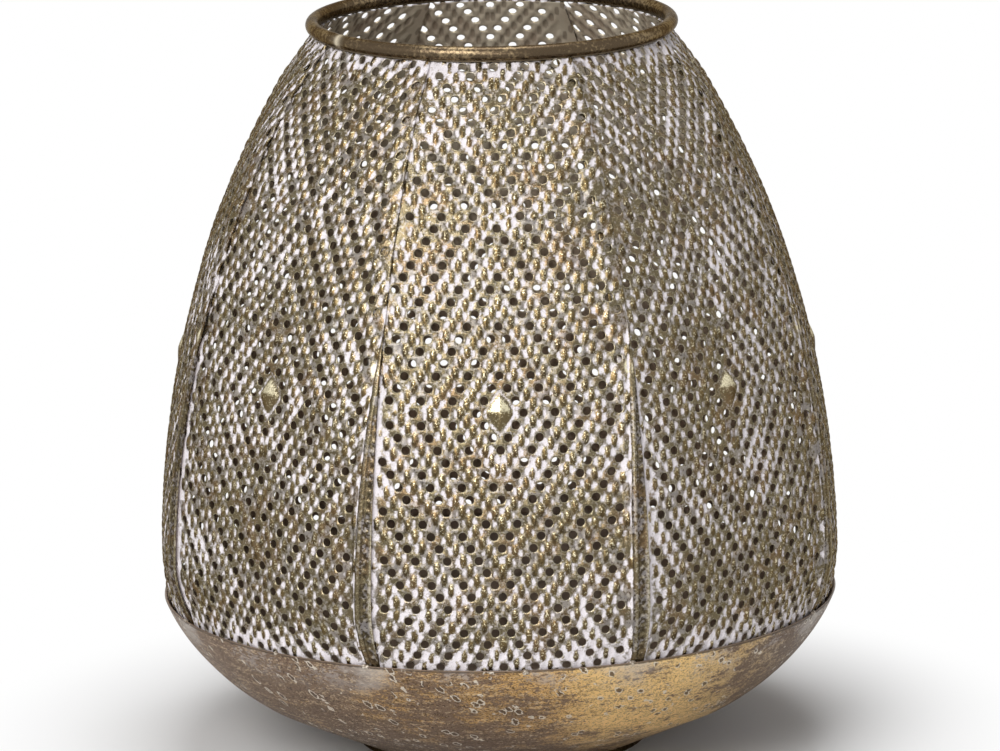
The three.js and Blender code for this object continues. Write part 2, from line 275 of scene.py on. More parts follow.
# %% Height of the stamped surface
DEPTH = 1.0
SADDLE, RIDGE = 0.42, 0.62
BOSS_HALF_WIDTH, BOSS_HALF_LENGTH, BOSS_TOP = 4.4, 6.1, 0.8
BOSS_ROUNDING = 1.18
MOAT_MIDDLE, MOAT_HALF_WIDTH, MOAT_DEPTH = 1.2, 0.25, 0.55
RIB_WIDTH, RIB_RISE = 1.8, 0.5
BEAD_PITCH, BEAD_RISE = 3.45, 0.5
BEAD_HALF_WIDTH, BEAD_HALF_LENGTH = 1.2, 1.4
CHANNEL_PLACE, CHANNEL_HALF_WIDTH, CHANNEL_DEPTH = 1.45, 1.7, 0.42


def lap_lift(across, along):
    share = np.clip((along - lip_along - GAP) / (BUTT_HEIGHT - GAP), 0, 1)
    from_edge = right_edge(along) - across
    return LAP_LIFT * share * smoothstep(-from_edge, -LAP_WIDTH - LAP_STEP, -LAP_WIDTH)


def border_relief(across, along):
    """The right border's rib, channel and beads: height, painted light and shade, and where the border is.
    """
    share = np.clip((along - lip_along - GAP) / (BUTT_HEIGHT - GAP), 0, 1)
    inwards = across - border_start
    room = np.clip((right_edge(along) - border_start - RIB_WIDTH / 2) / RIB_WIDTH, 0, 1)
    rib = RIB_RISE * room * bump(np.abs(inwards - RIB_WIDTH / 2) / (0.62 * RIB_WIDTH))
    beads_at = border_start + RIB_WIDTH + CHANNEL_PLACE
    to_bead = (along / BEAD_PITCH + 0.5) % 1 - 0.5
    bead = bump(np.hypot((across - beads_at) / BEAD_HALF_WIDTH, to_bead * BEAD_PITCH / BEAD_HALF_LENGTH))
    channel = bump(np.abs(across - beads_at) / CHANNEL_HALF_WIDTH)
    edge = smoothstep(inwards, RIB_WIDTH + 2.5, RIB_WIDTH + 3.1)
    height = share * (rib + room * (0.1 * edge - CHANNEL_DEPTH * channel + BEAD_RISE * bead))
    # Painted highlight on the crest, the edge and the beads' upper halves; painted shade on flanks and
    # channel.
    flank = bump(np.abs(inwards - RIB_WIDTH) / 0.5) + bump(np.abs(inwards + 0.1) / 0.4)
    crest = bump(np.abs(inwards - 0.75) / 0.8)
    bead_light_and_shade = bead * np.where(to_bead > 0, 2.2, 0.3)
    worn = 0.4 * crest - 1.2 * flank + room * (0.9 * edge - 1.1 * channel + bead_light_and_shade)
    return height, worn, smoothstep(inwards, -0.7, 0)


def boss_relief(across, along):
    """The boss, from 0 to 1, and the moat round it."""
    sideways = np.abs(across / BOSS_HALF_WIDTH)
    upwards = np.abs((along - boss_along) / BOSS_HALF_LENGTH)
    to_boss = (sideways**BOSS_ROUNDING + upwards**BOSS_ROUNDING) ** (1 / BOSS_ROUNDING)
    moat = bump(np.abs(to_boss - MOAT_MIDDLE) / MOAT_HALF_WIDTH) * (to_boss > 1)
    return np.clip(1 - to_boss, 0, 1), moat


# %% Where paint stays, and a bright spot on the lapped edge with a painted highlight
LIP_WASH, MOUTH_WASH, LAP_WASH = (0, 12.5), (2, 9), (0.6, 2.2)
LAP_WASH_END = (90, 115)
WASH_BY_EDGES = 1.6
BRIGHT_SPOT_HEIGHT, BRIGHT_SPOT_INWARDS = 157, 2.2
BRIGHT_SPOT_HALF_WIDTH, BRIGHT_SPOT_HALF_LENGTH = 3.0, 6.0


def left_wash(across, along, on_border):
    """How much paint wiping left along the lip, the mouth, the lap and the rib."""
    near_lip = 1 - smoothstep(along - lip_along, *LIP_WASH)
    near_mouth = 1 - smoothstep(shade_length - along, *MOUTH_WASH)
    from_lap = across + half_width(along) - OVERHANG
    by_lap = (1 - smoothstep(from_lap, *LAP_WASH)) * (1 - smoothstep(along - lip_along, *LAP_WASH_END))
    by_rib = bump((border_start - 0.6 - across) / 0.7)
    wash = np.maximum(np.maximum(near_lip, near_mouth), np.maximum(by_lap, by_rib) * WASH_BY_EDGES)
    return np.maximum(wash * (1 - on_border), by_rib)


def rubbed_spot_and_highlight(across, along):
    """A spot of the lapped edge that handling has rubbed bright, made brighter still as a painted
    highlight.
    """
    inwards = (right_edge(along) - across - BRIGHT_SPOT_INWARDS) / BRIGHT_SPOT_HALF_WIDTH
    upwards = (along - along_at(BRIGHT_SPOT_HEIGHT)) / BRIGHT_SPOT_HALF_LENGTH
    return 1.3 * (1 - smoothstep(np.hypot(inwards, upwards), 0.1, 1))


# %% The stamped sheet
def stamped(across, along):
    """How far the sheet stands off its own face, and what its finish follows."""
    grain, dimple, way_up = grains(across, along)
    boss, moat = boss_relief(across, along)
    border, border_light_and_shade, on_border = border_relief(across, along)
    ground = SADDLE + (RIDGE - SADDLE) * ridges(across, along)
    level = np.maximum(ground * (1 - dimple), ground + (1 - ground) * grain - 2 * (grain <= 0))
    inside_ring = np.abs(across) / COLUMN + np.abs(along - boss_along) / ROW < FIRST_RING
    level = np.where(inside_ring, RIDGE, level)
    level = level * (1 - MOAT_DEPTH * moat)
    field = DEPTH * (level - 1) + (BOSS_TOP + DEPTH * (1 - RIDGE)) * boss * (1.5 - 0.5 * boss)
    hidden = smoothstep(-half_width(along) + OVERHANG - across, 0.2, 1.0)
    field = field * (1 - hidden) - 0.5 * DEPTH * hidden
    # Painted light: grain tops get a high worn value and undersides a low one, painted lighter and darker.
    worn = way_up * grain * (1 - on_border) + border_light_and_shade * on_border
    # Painted light on the boss: its upper half is painted lighter and its lower half darker.
    worn = np.where(boss > 0, 0.4 + 0.6 * np.clip((along - boss_along) / 0.8, -1, 1), worn)
    return {
        "raised": field * (1 - on_border) + border * on_border + lap_lift(across, along),
        "level": np.where(boss > 0, 1.0, level * (1 - on_border) + on_border),
        "grain": np.where(boss > 0, 0.3, grain * (1 - on_border)),
        "worn": worn + rubbed_spot_and_highlight(across, along),
        "wash": left_wash(across, along, on_border),
    }


# %% [markdown]
# ## The blank
#
# The blank is a grid whose cells divide the lattice evenly, so that each hole falls on the middle of
# a square of four by four cells. Places beyond the outline are drawn in to it, row by row, and
# merging the doubles then removes every cell that lay outside. A hole is pierced by deleting the
# nine places inside its square, and drawing the sixteen round it in to a circle. That keeps the
# cells even, where a boolean cut would leave long thin faces that shade badly.

# %% The blank's grid
CELL_ACROSS, CELL_ALONG = COLUMN / COLUMN_CELLS, ROW / ROW_CELLS
EDGE_ROOM, TOP_ROOM, LAP_ROOM, BORDER_ROOM = 0.75, 0.4, 1.7, 1.8
widest_edge = float(right_edge(along_at(WIDEST_HEIGHT)))
columns_left = math.ceil(widest_edge / CELL_ACROSS) + 1
field_columns = int((border_start - 1) / CELL_ACROSS)
columns_right = field_columns + math.ceil(2 * (widest_edge / CELL_ACROSS - field_columns)) + 1
rows_down = round(boss_along / CELL_ALONG)
rows_up = round((shade_length - boss_along) / CELL_ALONG)


def across_column(column):
    """How far across a column of the grid lies. In the border the columns are half as wide."""
    return CELL_ACROSS * (min(column, field_columns) + max(column - field_columns, 0) / 2)


def blank_grid():
    """The trimmed sheet, and its places by lattice cell."""
    bm = bmesh.new()
    bm.verts.layers.float.new("rim")
    across_steps, along_steps = columns_left + columns_right, rows_down + rows_up
    bmesh.ops.create_grid(bm, x_segments=across_steps, y_segments=along_steps, size=0.5)
    for v in bm.verts:
        v.co.x = (v.co.x + 0.5) * across_steps - columns_left
        v.co.y = (v.co.y + 0.5) * along_steps - rows_down
    places = {(round(v.co.x), round(v.co.y)): v for v in bm.verts}
    for (column, row), v in places.items():
        along = min(max(boss_along + row * CELL_ALONG, 0.0), float(shade_length))
        if row == -rows_down:
            along = 0.0
        if row == rows_up:
            along = float(shade_length)
        edges = (float(left_edge(along)), float(right_edge(along)))
        across = across_column(column)
        near = 0.5 * (across_column(column + 1) - across)
        if across < edges[0] + near:
            across = edges[0]
        if across > edges[1] - near:
            across = edges[1]
        v.co = Vector((across, along, 0))
    return bm, places


def hole_centres():
    """The cells on a ring of holes that leave room for the hole. The top row sits a cell lower."""
    reach = columns_left // COLUMN_CELLS
    top_row = rows_up // ROW_CELLS
    for row in range(-(rows_down // ROW_CELLS), top_row + 1):
        cell = row * ROW_CELLS - (row == top_row)
        along = boss_along + cell * CELL_ALONG
        room = HOLE_RADIUS + EDGE_ROOM
        if not room < along < shade_length - HOLE_RADIUS - TOP_ROOM:
            continue
        for column in range(-reach, reach + 1):
            if (abs(column) + int(folded(row)) - FIRST_RING) % RING_STEPS:
                continue
            across = column * COLUMN
            left = max(float(left_edge(along + d)) + room for d in (-2, 0, 2))
            left = max(left, OVERHANG - float(half_width(along)) + LAP_ROOM)
            right = min(float(right_edge(along + d)) - room for d in (-2, 0, 2))
            if left < across < min(right, border_start - BORDER_ROOM):
                yield column * COLUMN_CELLS, cell


def petal_blank():
    """The flat sheet, pierced and given its thickness."""
    bm, places = blank_grid()
    rim = bm.verts.layers.float["rim"]
    inside, centres = [], list(hole_centres())
    for column, row in centres:
        middle = Vector((column * CELL_ACROSS, boss_along + row * CELL_ALONG, 0))
        for i in range(-2, 3):
            for j in range(-2, 3):
                v = places[column + i, row + j]
                if max(abs(i), abs(j)) < 2:
                    inside.append(v)
                else:
                    v.co = middle + HOLE_RADIUS * (v.co - middle).normalized()
                    v[rim] = 1
    bmesh.ops.delete(bm, geom=inside, context="VERTS")
    bmesh.ops.remove_doubles(bm, verts=bm.verts, dist=1e-5)
    bmesh.ops.solidify(bm, geom=bm.faces[:], thickness=SHEET)
    open_edges = sum(not e.is_manifold for e in bm.edges)
    print(len(centres), "holes,", len(bm.faces), "faces,", open_edges, "open edges")
    return bm


# %% [markdown]
# ## A flat map of the petal
#
# The petal was flat, so its flat shape is the best map for its finish: nothing is stretched. The
# outside takes the left half of the map and the inside the right half. The walls of the holes go
# in the empty discs that the holes leave.


# %% The petal's map
def lay_out(bm):
    """Gives the flat sheet its map and tells its outside from its inside."""
    layer = bm.loops.layers.uv.new("OFBake")
    size = float(shade_length) + 4
    bm.normal_update()
    for face in bm.faces:
        depths = [loop.vert.co.z for loop in face.loops]
        inner = max(depths) < -SHEET / 2
        wall = not inner and min(depths) < -SHEET / 2
        inwards = face.normal.copy() if wall else Vector()
        for loop in face.loops:
            place = loop.vert.co.copy()
            if wall and place.z < -SHEET / 2:
                place += inwards * 0.3
            across = 0.75 * size - place.x if inner else 0.25 * size + place.x
            loop[layer].uv = (across / size, (place.y + 2) / size)
        face.material_index = 1 if inner else 0
        face.smooth = not wall


# %% The flat sheet as a mesh
def flat_petal():
    bm = petal_blank()
    lay_out(bm)
    mesh = bpy.data.meshes.new("petal_blank")
    bm.to_mesh(mesh)
    bm.free()
    return mesh


blank = flat_petal()
flat = np.empty(len(blank.vertices) * 3)
blank.vertices.foreach_get("co", flat)
flat = flat.reshape(-1, 3)
relief = stamped(flat[:, 0], flat[:, 1])
for name in ("level", "grain", "worn", "wash"):
    layer = blank.attributes.new(name, "FLOAT", "POINT")
    layer.data.foreach_set("value", relief[name].astype(np.float32))
print("raised from", relief["raised"].min().round(2), "to", relief["raised"].max().round(2), "mm")

# %% [markdown]
# ## Shader maths as expressions
#
# A finish is easier to read as sums and products than as a web of nodes. This small class wraps an
# output and lets Python's operators add the Math nodes.


# %% A class for values that vary over a surface
class Varying:
    def __init__(self, finish, socket):
        self.finish, self.socket = finish, socket

    def math(self, operation, *others):
        node = self.finish.tree.nodes.new("ShaderNodeMath")
        node.operation = operation
        for place, value in enumerate((self, *others)):
            self.finish.put(node.inputs[place], value)
        return Varying(self.finish, node.outputs[0])

    def __add__(self, other):
        return self.math("ADD", other)

    def __sub__(self, other):
        return self.math("SUBTRACT", other)

    def __mul__(self, other):
        return self.math("MULTIPLY", other)

    def __rsub__(self, other):
        return (self * -1) + other

    __radd__ = __add__
    __rmul__ = __mul__

    def clamped(self):
        return self.math("MINIMUM", 1.0).math("MAXIMUM", 0.0)

    def over(self, start, end):
        """0 below start and 1 above end, with a smooth change between them."""
        node = self.finish.node("MapRange", {"interpolation_type": "SMOOTHSTEP"}, Value=self)
        node.inputs["From Min"].default_value = start
        node.inputs["From Max"].default_value = end
        return Varying(self.finish, node.outputs["Result"])


# %% A class for a finish
class Finish:
    """A material made of one principled shader and what feeds it."""

    def __init__(self, name):
        self.material = bpy.data.materials.new(name)
        self.material.use_nodes = True
        self.tree = self.material.node_tree
        self.shader = self.tree.nodes["Principled BSDF"]
        self.place = self.node("TexCoord").outputs["Object"]

    def put(self, socket, value):
        if isinstance(value, Varying):
            self.tree.links.new(value.socket, socket)
        elif isinstance(value, bpy.types.NodeSocket):
            self.tree.links.new(value, socket)
        elif isinstance(value, (tuple, list)):
            socket.default_value = (*value, 1.0)[: len(socket.default_value)]
        else:
            socket.default_value = value

    def node(self, kind, settings=(), **values):
        node = self.tree.nodes.new("ShaderNode" + kind)
        for name, value in dict(settings).items():
            setattr(node, name, value)
        for name, value in values.items():
            self.put(node.inputs[name.replace("_", " ")], value)
        return node

    def attribute(self, name):
        return Varying(self, self.node("Attribute", {"attribute_name": name}).outputs["Fac"])

    def mapped(self, size, stretch, tilt):
        """Object coordinates counted in units of size millimetres, tilted in the front view."""
        mapping = self.node("Mapping", {"vector_type": "TEXTURE"}, Vector=self.place)
        mapping.inputs["Rotation"].default_value = (0, tilt, 0)
        mapping.inputs["Scale"].default_value = [size * METRES * s for s in stretch]
        return mapping.outputs[0]

    def cloud(self, size, detail=3.0, roughness=0.55, stretch=(1, 1, 1), tilt=0.0):
        """Soft noise from 0 to 1 whose blotches are about size millimetres wide."""
        place = self.mapped(size, stretch, tilt)
        made = self.node("TexNoise", Vector=place, Scale=1.0, Detail=detail, Roughness=roughness)
        return Varying(self, made.outputs["Fac"])

    def cells(self, size, stretch=(1, 1, 1), tilt=0.0):
        """Distance to the nearest of many scattered points, in units of size."""
        made = self.node("TexVoronoi", Vector=self.mapped(size, stretch, tilt), Scale=1.0)
        return Varying(self, made.outputs["Distance"])

    def axis(self, name):
        """One of the object coordinates, in millimetres."""
        return Varying(self, self.node("SeparateXYZ", Vector=self.place).outputs[name]) * (1 / METRES)

    def away_from(self, point):
        """Distance from a point of the object, in millimetres."""
        node = self.node("VectorMath", {"operation": "DISTANCE"})
        self.put(node.inputs[0], self.place)
        node.inputs[1].default_value = [c * METRES for c in point]
        return Varying(self, node.outputs["Value"]) * (1 / METRES)

    def blend(self, share, first, second):
        """A colour between two: the first where share is 0, the second where it is 1."""
        node = self.node("Mix", {"data_type": "RGBA"})
        self.put(node.inputs["Factor"], share)
        for place, value in ((6, first), (7, second)):
            self.put(node.inputs[place], value)
        return node.outputs[2]

    def shade(self, **values):
        for name, value in values.items():
            self.put(self.shader.inputs[name.replace("_", " ")], value)
        return self.material

    def bumps(self, height, depth):
        """A normal that shades height, whose full range is depth millimetres."""
        node = self.node("Bump", Height=height)
        node.inputs["Distance"].default_value = depth * METRES
        node.inputs["Strength"].default_value = 1.0
        return node.outputs[0]


def colour(red, green, blue):
    """Linear values of a colour written as it is seen, from 0 to 255."""
    channels = (red / 255, green / 255, blue / 255)
    return tuple(c / 12.92 if c <= 0.04045 else ((c + 0.055) / 1.055) ** 2.4 for c in channels)


# %% [markdown]
# ## The antique finish of the petals
#
# The sheet was plated, washed with thin white paint and wiped, so the paint stays in the dimples and
# along the edges, where wiping didn't reach. The saddles and ridges show grey bronze, and the grains
# are rubbed back to gold. Light and shade are painted in as well: pale gold painted highlights on the
# tops of the grains, the upper half of the boss, the border's crest and bead tops and the holes' rims,
# and darker painted shade under the grains, on the lower half of the boss and in the border's
# channel. The heights stored on the blank say where each lies, and noise breaks every edge up. The
# metal is rough enough to glint under the lamp. Seen edge on, tarnished metal mirrors less than
# clean metal does, and the edge tint says so. Inside, the bare sheet is painted darker low down and
# in the hollows behind the grains, as painted shade.

# %% The petals' finish
WHITEWASH = colour(232, 226, 230)
BRONZE = colour(102, 92, 70)
WARM_BRONZE = colour(112, 86, 60)
BROWN_GOLD = colour(102, 86, 56)
DARK_BRONZE = colour(42, 34, 25)
PALE_GOLD = colour(238, 229, 196)
BARE = colour(200, 188, 167)
SHADED_BARE = colour(160, 138, 118)
DEEP_BROWN = colour(104, 86, 70)
EDGE_TINT = colour(170, 160, 146)


def petal_finish():
    finish = Finish("antique_gold")
    level, grain = finish.attribute("level"), finish.attribute("grain")
    worn, wash = finish.attribute("worn"), finish.attribute("wash")
    rim = finish.attribute("rim")
    grit = finish.cloud(0.5, detail=2.0)
    specks = finish.cloud(1.1, detail=2.0)
    smears = finish.cloud(6.0, detail=3.0)
    patches = finish.cloud(32.0, detail=2.0)
    left_bare = level - wash * 0.3 + (specks - 0.5) * 0.9 + (smears - 0.5) * 1.1 + (patches - 0.5) * 0.9
    film = (smears + (specks - 0.5) * 0.8).over(0.5, 0.65) * (1 - grain.over(0.0, 0.3)) * 0.2
    paint = (1 - left_bare.over(0.06, 0.42) + film).clamped() * (1 - grit.over(0.54, 0.7) * 0.35)
    metal = finish.blend(grain.over(0.0, 0.6), BRONZE, BROWN_GOLD)
    warm = (finish.cloud(9.0) + (grit - 0.5) * 0.6).over(0.45, 0.65)
    metal = finish.blend(warm * 0.55, metal, WARM_BRONZE)
    # Tarnish in blotches, plus painted shade where worn is low: under the grains, the boss and in the
    # channel.
    tarnish_and_shade = (grain * 0.2 + (smears - 0.5) * 1.6 + (grit - 0.5) * 1.6 - worn * 0.5).over(0.0, 0.5)
    metal = finish.blend(tarnish_and_shade * 0.8, metal, DARK_BRONZE)
    # Painted highlight: a pale gold ring round each hole.
    metal = finish.blend(rim.over(0.5, 0.9) * 0.2, metal, PALE_GOLD)
    # Painted glints: pale gold specks, most on the grains, and painted highlights where worn is high.
    painted_glints = (worn * 0.16 + grit + (specks - 0.5) * 0.6).over(0.56, 0.68)
    metal = finish.blend(painted_glints * (0.2 + grain * 0.6) + worn.over(0.8, 1.2) * 0.8, metal, PALE_GOLD)
    # Less paint on the holes' rims, so the painted highlight there shows.
    paint = paint * (1 - rim.over(0.6, 0.9) * 0.45)
    return finish.shade(
        Base_Color=finish.blend(paint, metal, WHITEWASH),
        Metallic=(1 - paint) * 0.85,
        Roughness=0.25 + paint * 0.5 + (specks - 0.5) * 0.4,
        Specular_Tint=EDGE_TINT,
        Normal=finish.bumps(grit * 0.5 + specks * 0.5, 0.16),
    )


def inside_finish():
    finish = Finish("bare_inside")
    blotches = finish.cloud(14.0, detail=4.0)
    specks = finish.cloud(1.4, detail=2.0)
    # Painted shade: the inside is darker towards the bottom and in the hollows behind the grains.
    bare = finish.blend(finish.axis("Z").over(45, 85), DEEP_BROWN, SHADED_BARE)
    bare = finish.blend(finish.axis("Z").over(90, 235), bare, BARE)
    bare = finish.blend(finish.attribute("grain").over(0.0, 0.5) * 0.55, bare, DEEP_BROWN)
    return finish.shade(
        Base_Color=finish.blend(blotches.over(0.4, 0.62) * 0.4, bare, SHADED_BARE),
        Metallic=0.1,
        Roughness=0.5 + (specks - 0.5) * 0.3,
        Normal=finish.bumps(specks, 0.1),
    )


outside, inside = petal_finish(), inside_finish()

# %% [markdown]
# ## Eight petals
#
# Each petal is a copy of the blank, raised by the stamping, bent by the formula and turned to its
# place. No two petals of a real one are quite alike, so a slow noise, different at each, pushes the
# middle of the sheet in by up to a third of a millimetre, and leaves its edges where they meet.


# %% From a mesh to a finished piece
def finished(name, mesh, materials, node=None):
    """Makes a piece of a mesh in millimetres, riding on the body, with its finish."""
    mesh.transform(Matrix.Scale(METRES, 4))
    mesh.name = name
    for material in materials:
        mesh.materials.append(material)
    piece = bpy.data.objects.new(name, mesh)
    bpy.context.scene.collection.objects.link(piece)
    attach(piece, "root")
    if node:
        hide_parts(node)
    return piece


# %% The eight petals
DENT_DEPTH, DENT_SIZE, DENT_STEP = 0.35, 24.0, 7.3
across, along = flat[:, 0], flat[:, 1]
from_side = smoothstep(np.minimum(across - left_edge(along), right_edge(along) - across), 4, 12)
from_end = smoothstep(np.minimum(along, shade_length - along), 4, 14)
for place in range(PETAL_COUNT):
    mesh = blank.copy()
    dents = np.array([noise.noise((x / DENT_SIZE, y / DENT_SIZE, DENT_STEP * place)) for x, y, _ in flat])
    pushed = -DENT_DEPTH * np.clip(dents + 0.5, 0, 1) * from_side * from_end
    points = pressed(across, along, flat[:, 2] + relief["raised"] + pushed)
    mesh.vertices.foreach_set("co", points.ravel())
    mesh.transform(Matrix.Rotation(2 * SEAM_ANGLE * place, 4, "Z"))
    number = place + 1
    finished(f"openwork_petal_{number}", mesh, [outside, inside], f"petal_panel_{number}")
print("petals placed, each with", len(blank.polygons), "faces")

# %% [markdown]
# ## Turned pieces
#
# The bowl is spun from a disc, the mouth ring is a bent wire, and the foot is a hoop of flat strip.
# Each has one section all the way round, so a section is drawn and turned about the upright axis, as
# a lathe would. A stack of rings could give the same shape, but the section is the easier to read.


# %% Turning a section
def turned(section, steps):
    """A closed section of (radius, height) turned about the upright axis, as a bmesh."""
    bm = bmesh.new()
    corners = [bm.verts.new((radius, 0, height)) for radius, height in section]
    sides = [bm.edges.new(pair) for pair in zip(corners, corners[1:] + corners[:1])]
    bmesh.ops.spin(
        bm,
        geom=corners + sides,
        cent=(0, 0, 0),
        axis=(0, 0, 1),
        angle=2 * math.pi,
        steps=steps,
        use_merge=True,
    )
    bmesh.ops.remove_doubles(bm, verts=bm.verts, dist=1e-4)
    bmesh.ops.recalc_face_normals(bm, faces=bm.faces)
    for face in bm.faces:
        face.smooth = True
    return bm


def as_mesh(bm, name):
    mesh = bpy.data.meshes.new(name)
    bm.to_mesh(mesh)
    bm.free()
    return mesh


# %% [markdown]
# ## The bowl
#
# The bowl has a flat floor, a straight flank and a rounded shoulder. Only its outer line is drawn.
# The inner line is set off from it by the sheet's thickness, mitred at every corner, so the wall is
# even, and the two meet in a rounded lip.

# %% The bowl's section
FLOOR_EDGE, FLOOR_UNDERSIDE = 53.5, 2.9
FLANK_END, FLANK_SLOPE = 87.8, math.radians(24.85)
FLOOR_MIDDLE, FLANK_STEPS, SHOULDER_STEPS = 26, 28, 40
FLANK_HANDLE, LIP_HANDLE = 3, 22.8
LIP_ROUNDING = 0.25
flank_top = (FLANK_END, FLOOR_UNDERSIDE + (FLANK_END - FLOOR_EDGE) * math.tan(FLANK_SLOPE))
lip_point = (LIP_RADIUS, LIP_HEIGHT)
leaving_flank = going(flank_top, FLANK_HANDLE, math.pi / 2 - FLANK_SLOPE)
reaching_lip = going(lip_point, -LIP_HANDLE, LIP_SLOPE)
shoulder = curve(flank_top, leaving_flank, reaching_lip, lip_point, SHOULDER_STEPS)


def bowl_section():
    """The bowl's wall as one closed outline of radius and height, from under the floor round the lip."""
    radii = [FLOOR_EDGE + (FLANK_END - FLOOR_EDGE) * i / FLANK_STEPS for i in range(FLANK_STEPS)]
    flank = [(r, FLOOR_UNDERSIDE + (r - FLOOR_EDGE) * math.tan(FLANK_SLOPE)) for r in radii]
    outer = np.array([(0, FLOOR_UNDERSIDE), (FLOOR_MIDDLE, FLOOR_UNDERSIDE), *flank, *shoulder])
    ways = np.diff(outer, axis=0)
    ways = ways / np.linalg.norm(ways, axis=1)[:, None]
    normals = np.stack([-ways[:, 1], ways[:, 0]], axis=1)
    before = np.vstack([normals[:1], normals])
    after = np.vstack([normals, normals[-1:]])
    mitre = before + after
    mitre = mitre / np.linalg.norm(mitre, axis=1)[:, None]
    inner = outer + mitre * (BOWL_SHEET / (mitre * after).sum(axis=1))[:, None]
    inner[0, 0] = 0
    middle = (outer[-1] + inner[-1]) / 2
    rounding = []
    for t in (0.8, 1.57, 2.34):
        sideways = (outer[-1] - middle) * math.cos(t)
        rounding.append(middle + sideways + np.array(ways[-1]) * LIP_ROUNDING * math.sin(t))
    return [tuple(p) for p in (*outer, *rounding, *inner[::-1])]


# %% [markdown]
# ## The finish of the bowl
#
# The real bowl was leafed thinly over brown metal, and the leaf is worn in streaks that follow the
# spinning. It is whole and of a brighter gold at the right of the front, and mostly gone at the left
# and low down. Low down and at the far right the bowl is also painted darker brown, as painted shade.
# Blotches, specks and flakes lie over it, and small dark pits with pale rims. Each of these is a
# noise of its own scale, so each can be made stronger or weaker on its own.

# %% The leafing
BOWL_BROWN, LOW_BROWN = colour(116, 93, 73), colour(84, 64, 46)
DULL_LEAF, BRIGHT_LEAF = colour(212, 170, 108), colour(236, 200, 136)


def leafed(finish, streaks, grain, blotches):
    """The leafed bowl, how much leaf each place has kept, and where its bright right front is."""
    patches = finish.cloud(26.0, detail=6.0, roughness=0.7, stretch=(1.4, 1.4, 0.7))
    right = finish.axis("X").over(8, 40) * (1 - finish.axis("Y").over(-60, -10))
    far_right = finish.axis("X").over(54, 108) * (1 - finish.axis("Y").over(-20, 40))
    left = 1 - finish.axis("X").over(-70, -20)
    height = finish.axis("Z") + (patches - 0.5) * 24 + right * 8
    low = (1 - height.over(12, 36)) * (1 - far_right * 0.4)
    leaf = patches + (blotches - 0.5) * 0.5 + (streaks - 0.5) * 0.3 + (grain - 0.5) * 1.0
    leaf = leaf + right * 0.18 - far_right * 0.32 - left * 0.12 - low * 0.2
    leaf = leaf.over(0.46, 0.62)
    base = finish.blend(leaf, BOWL_BROWN, finish.blend(right, DULL_LEAF, BRIGHT_LEAF))
    # Painted shade: darker brown low down, most at the left, and at the far right.
    painted_shade = low * (0.45 + left * 0.3 + right * 0.12) + far_right * 0.6
    return finish.blend(painted_shade, base, LOW_BROWN), leaf, right


# %% Blotches, specks and flakes
BLOTCH_BROWN, SPECK_BROWN = colour(82, 64, 52), colour(62, 42, 26)
PALE_FLAKE = colour(230, 206, 168)


def weathered(finish, base, right, specks, streaks, grain, blotches):
    """Brown blotches, dark specks and pale flakes, all weaker where the leaf is bright."""
    flakes = finish.cloud(0.8, detail=2.0, roughness=0.7, stretch=(1.5, 1.5, 0.7))
    blotched = (blotches + (grain - 0.5) * 1.2).over(0.52, 0.66)
    base = finish.blend(blotched * 0.45 * (1 - right * 0.5), base, BLOTCH_BROWN)
    specked = (specks + (grain - 0.5) * 0.6).over(0.52, 0.6)
    base = finish.blend(specked * (0.8 - right * 0.25), base, SPECK_BROWN)
    flaked = (flakes + (streaks - 0.5) * 0.5).over(0.55, 0.65)
    return finish.blend(flaked * (0.42 - right * 0.1), base, PALE_FLAKE)


# %% Marks of the soldering, and the painted shadow at the lip
SEAM_FOOT_TURN = math.radians(23.4)
SEAM_FOOT_ANGLES = [2 * SEAM_ANGLE * place - SEAM_FOOT_TURN for place in range(PETAL_COUNT)]
SEAM_FEET = [(LIP_RADIUS * math.sin(angle), -LIP_RADIUS * math.cos(angle)) for angle in SEAM_FOOT_ANGLES]
LIP_OXIDE, HEATED_GREY, LIP_GAP_SHADOW = colour(182, 174, 168), colour(186, 178, 170), colour(60, 47, 35)


def soldering_marks_and_gap_shadow(finish, base, streaks, grain, blotches):
    """Grey oxide under the lip, greyed patches where seams were heated, and painted shadow on the lip's
    top.
    """
    near_lip = finish.axis("Z").over(38, 54)
    oxide = (finish.cloud(18.0, detail=4.0) + (grain - 0.5) * 0.9).over(0.54, 0.7) * near_lip
    base = finish.blend(oxide * 0.6, base, LIP_OXIDE)
    unheated = 1
    for x, y in SEAM_FEET:
        from_foot = finish.away_from((x, y, LIP_HEIGHT)) - (blotches - 0.5) * 20
        unheated = from_foot.over(3, 13) * unheated
    base = finish.blend((1 - unheated) * (0.35 + streaks * 0.5), base, HEATED_GREY)
    # Painted shadow: a dark line along the top of the lip, in the gap under the petals.
    gap_shadow = (finish.axis("Z") + grain * 1.6).over(54.6, 55.1)
    return finish.blend(gap_shadow * 0.85, base, LIP_GAP_SHADOW)


# %% Pits
PIT_SIZE, PIT_STRETCH, PIT_TILT = 4.8, (0.8, 1.0, 1.7), math.radians(-38)
PIT_RIM, PIT_BROWN = colour(220, 210, 194), colour(84, 66, 50)


def pits(finish):
    """Where the pits are and where their rims, each from 0 to 1. They come in clusters."""
    from_pit = finish.cells(PIT_SIZE, stretch=PIT_STRETCH, tilt=PIT_TILT) + (finish.cloud(1.4) - 0.5) * 0.4
    clusters = finish.cloud(11.0).over(0.48, 0.52)
    pit = (1 - from_pit.over(0.19, 0.23)) * clusters
    return pit, (1 - from_pit.over(0.28, 0.32)) * clusters - pit


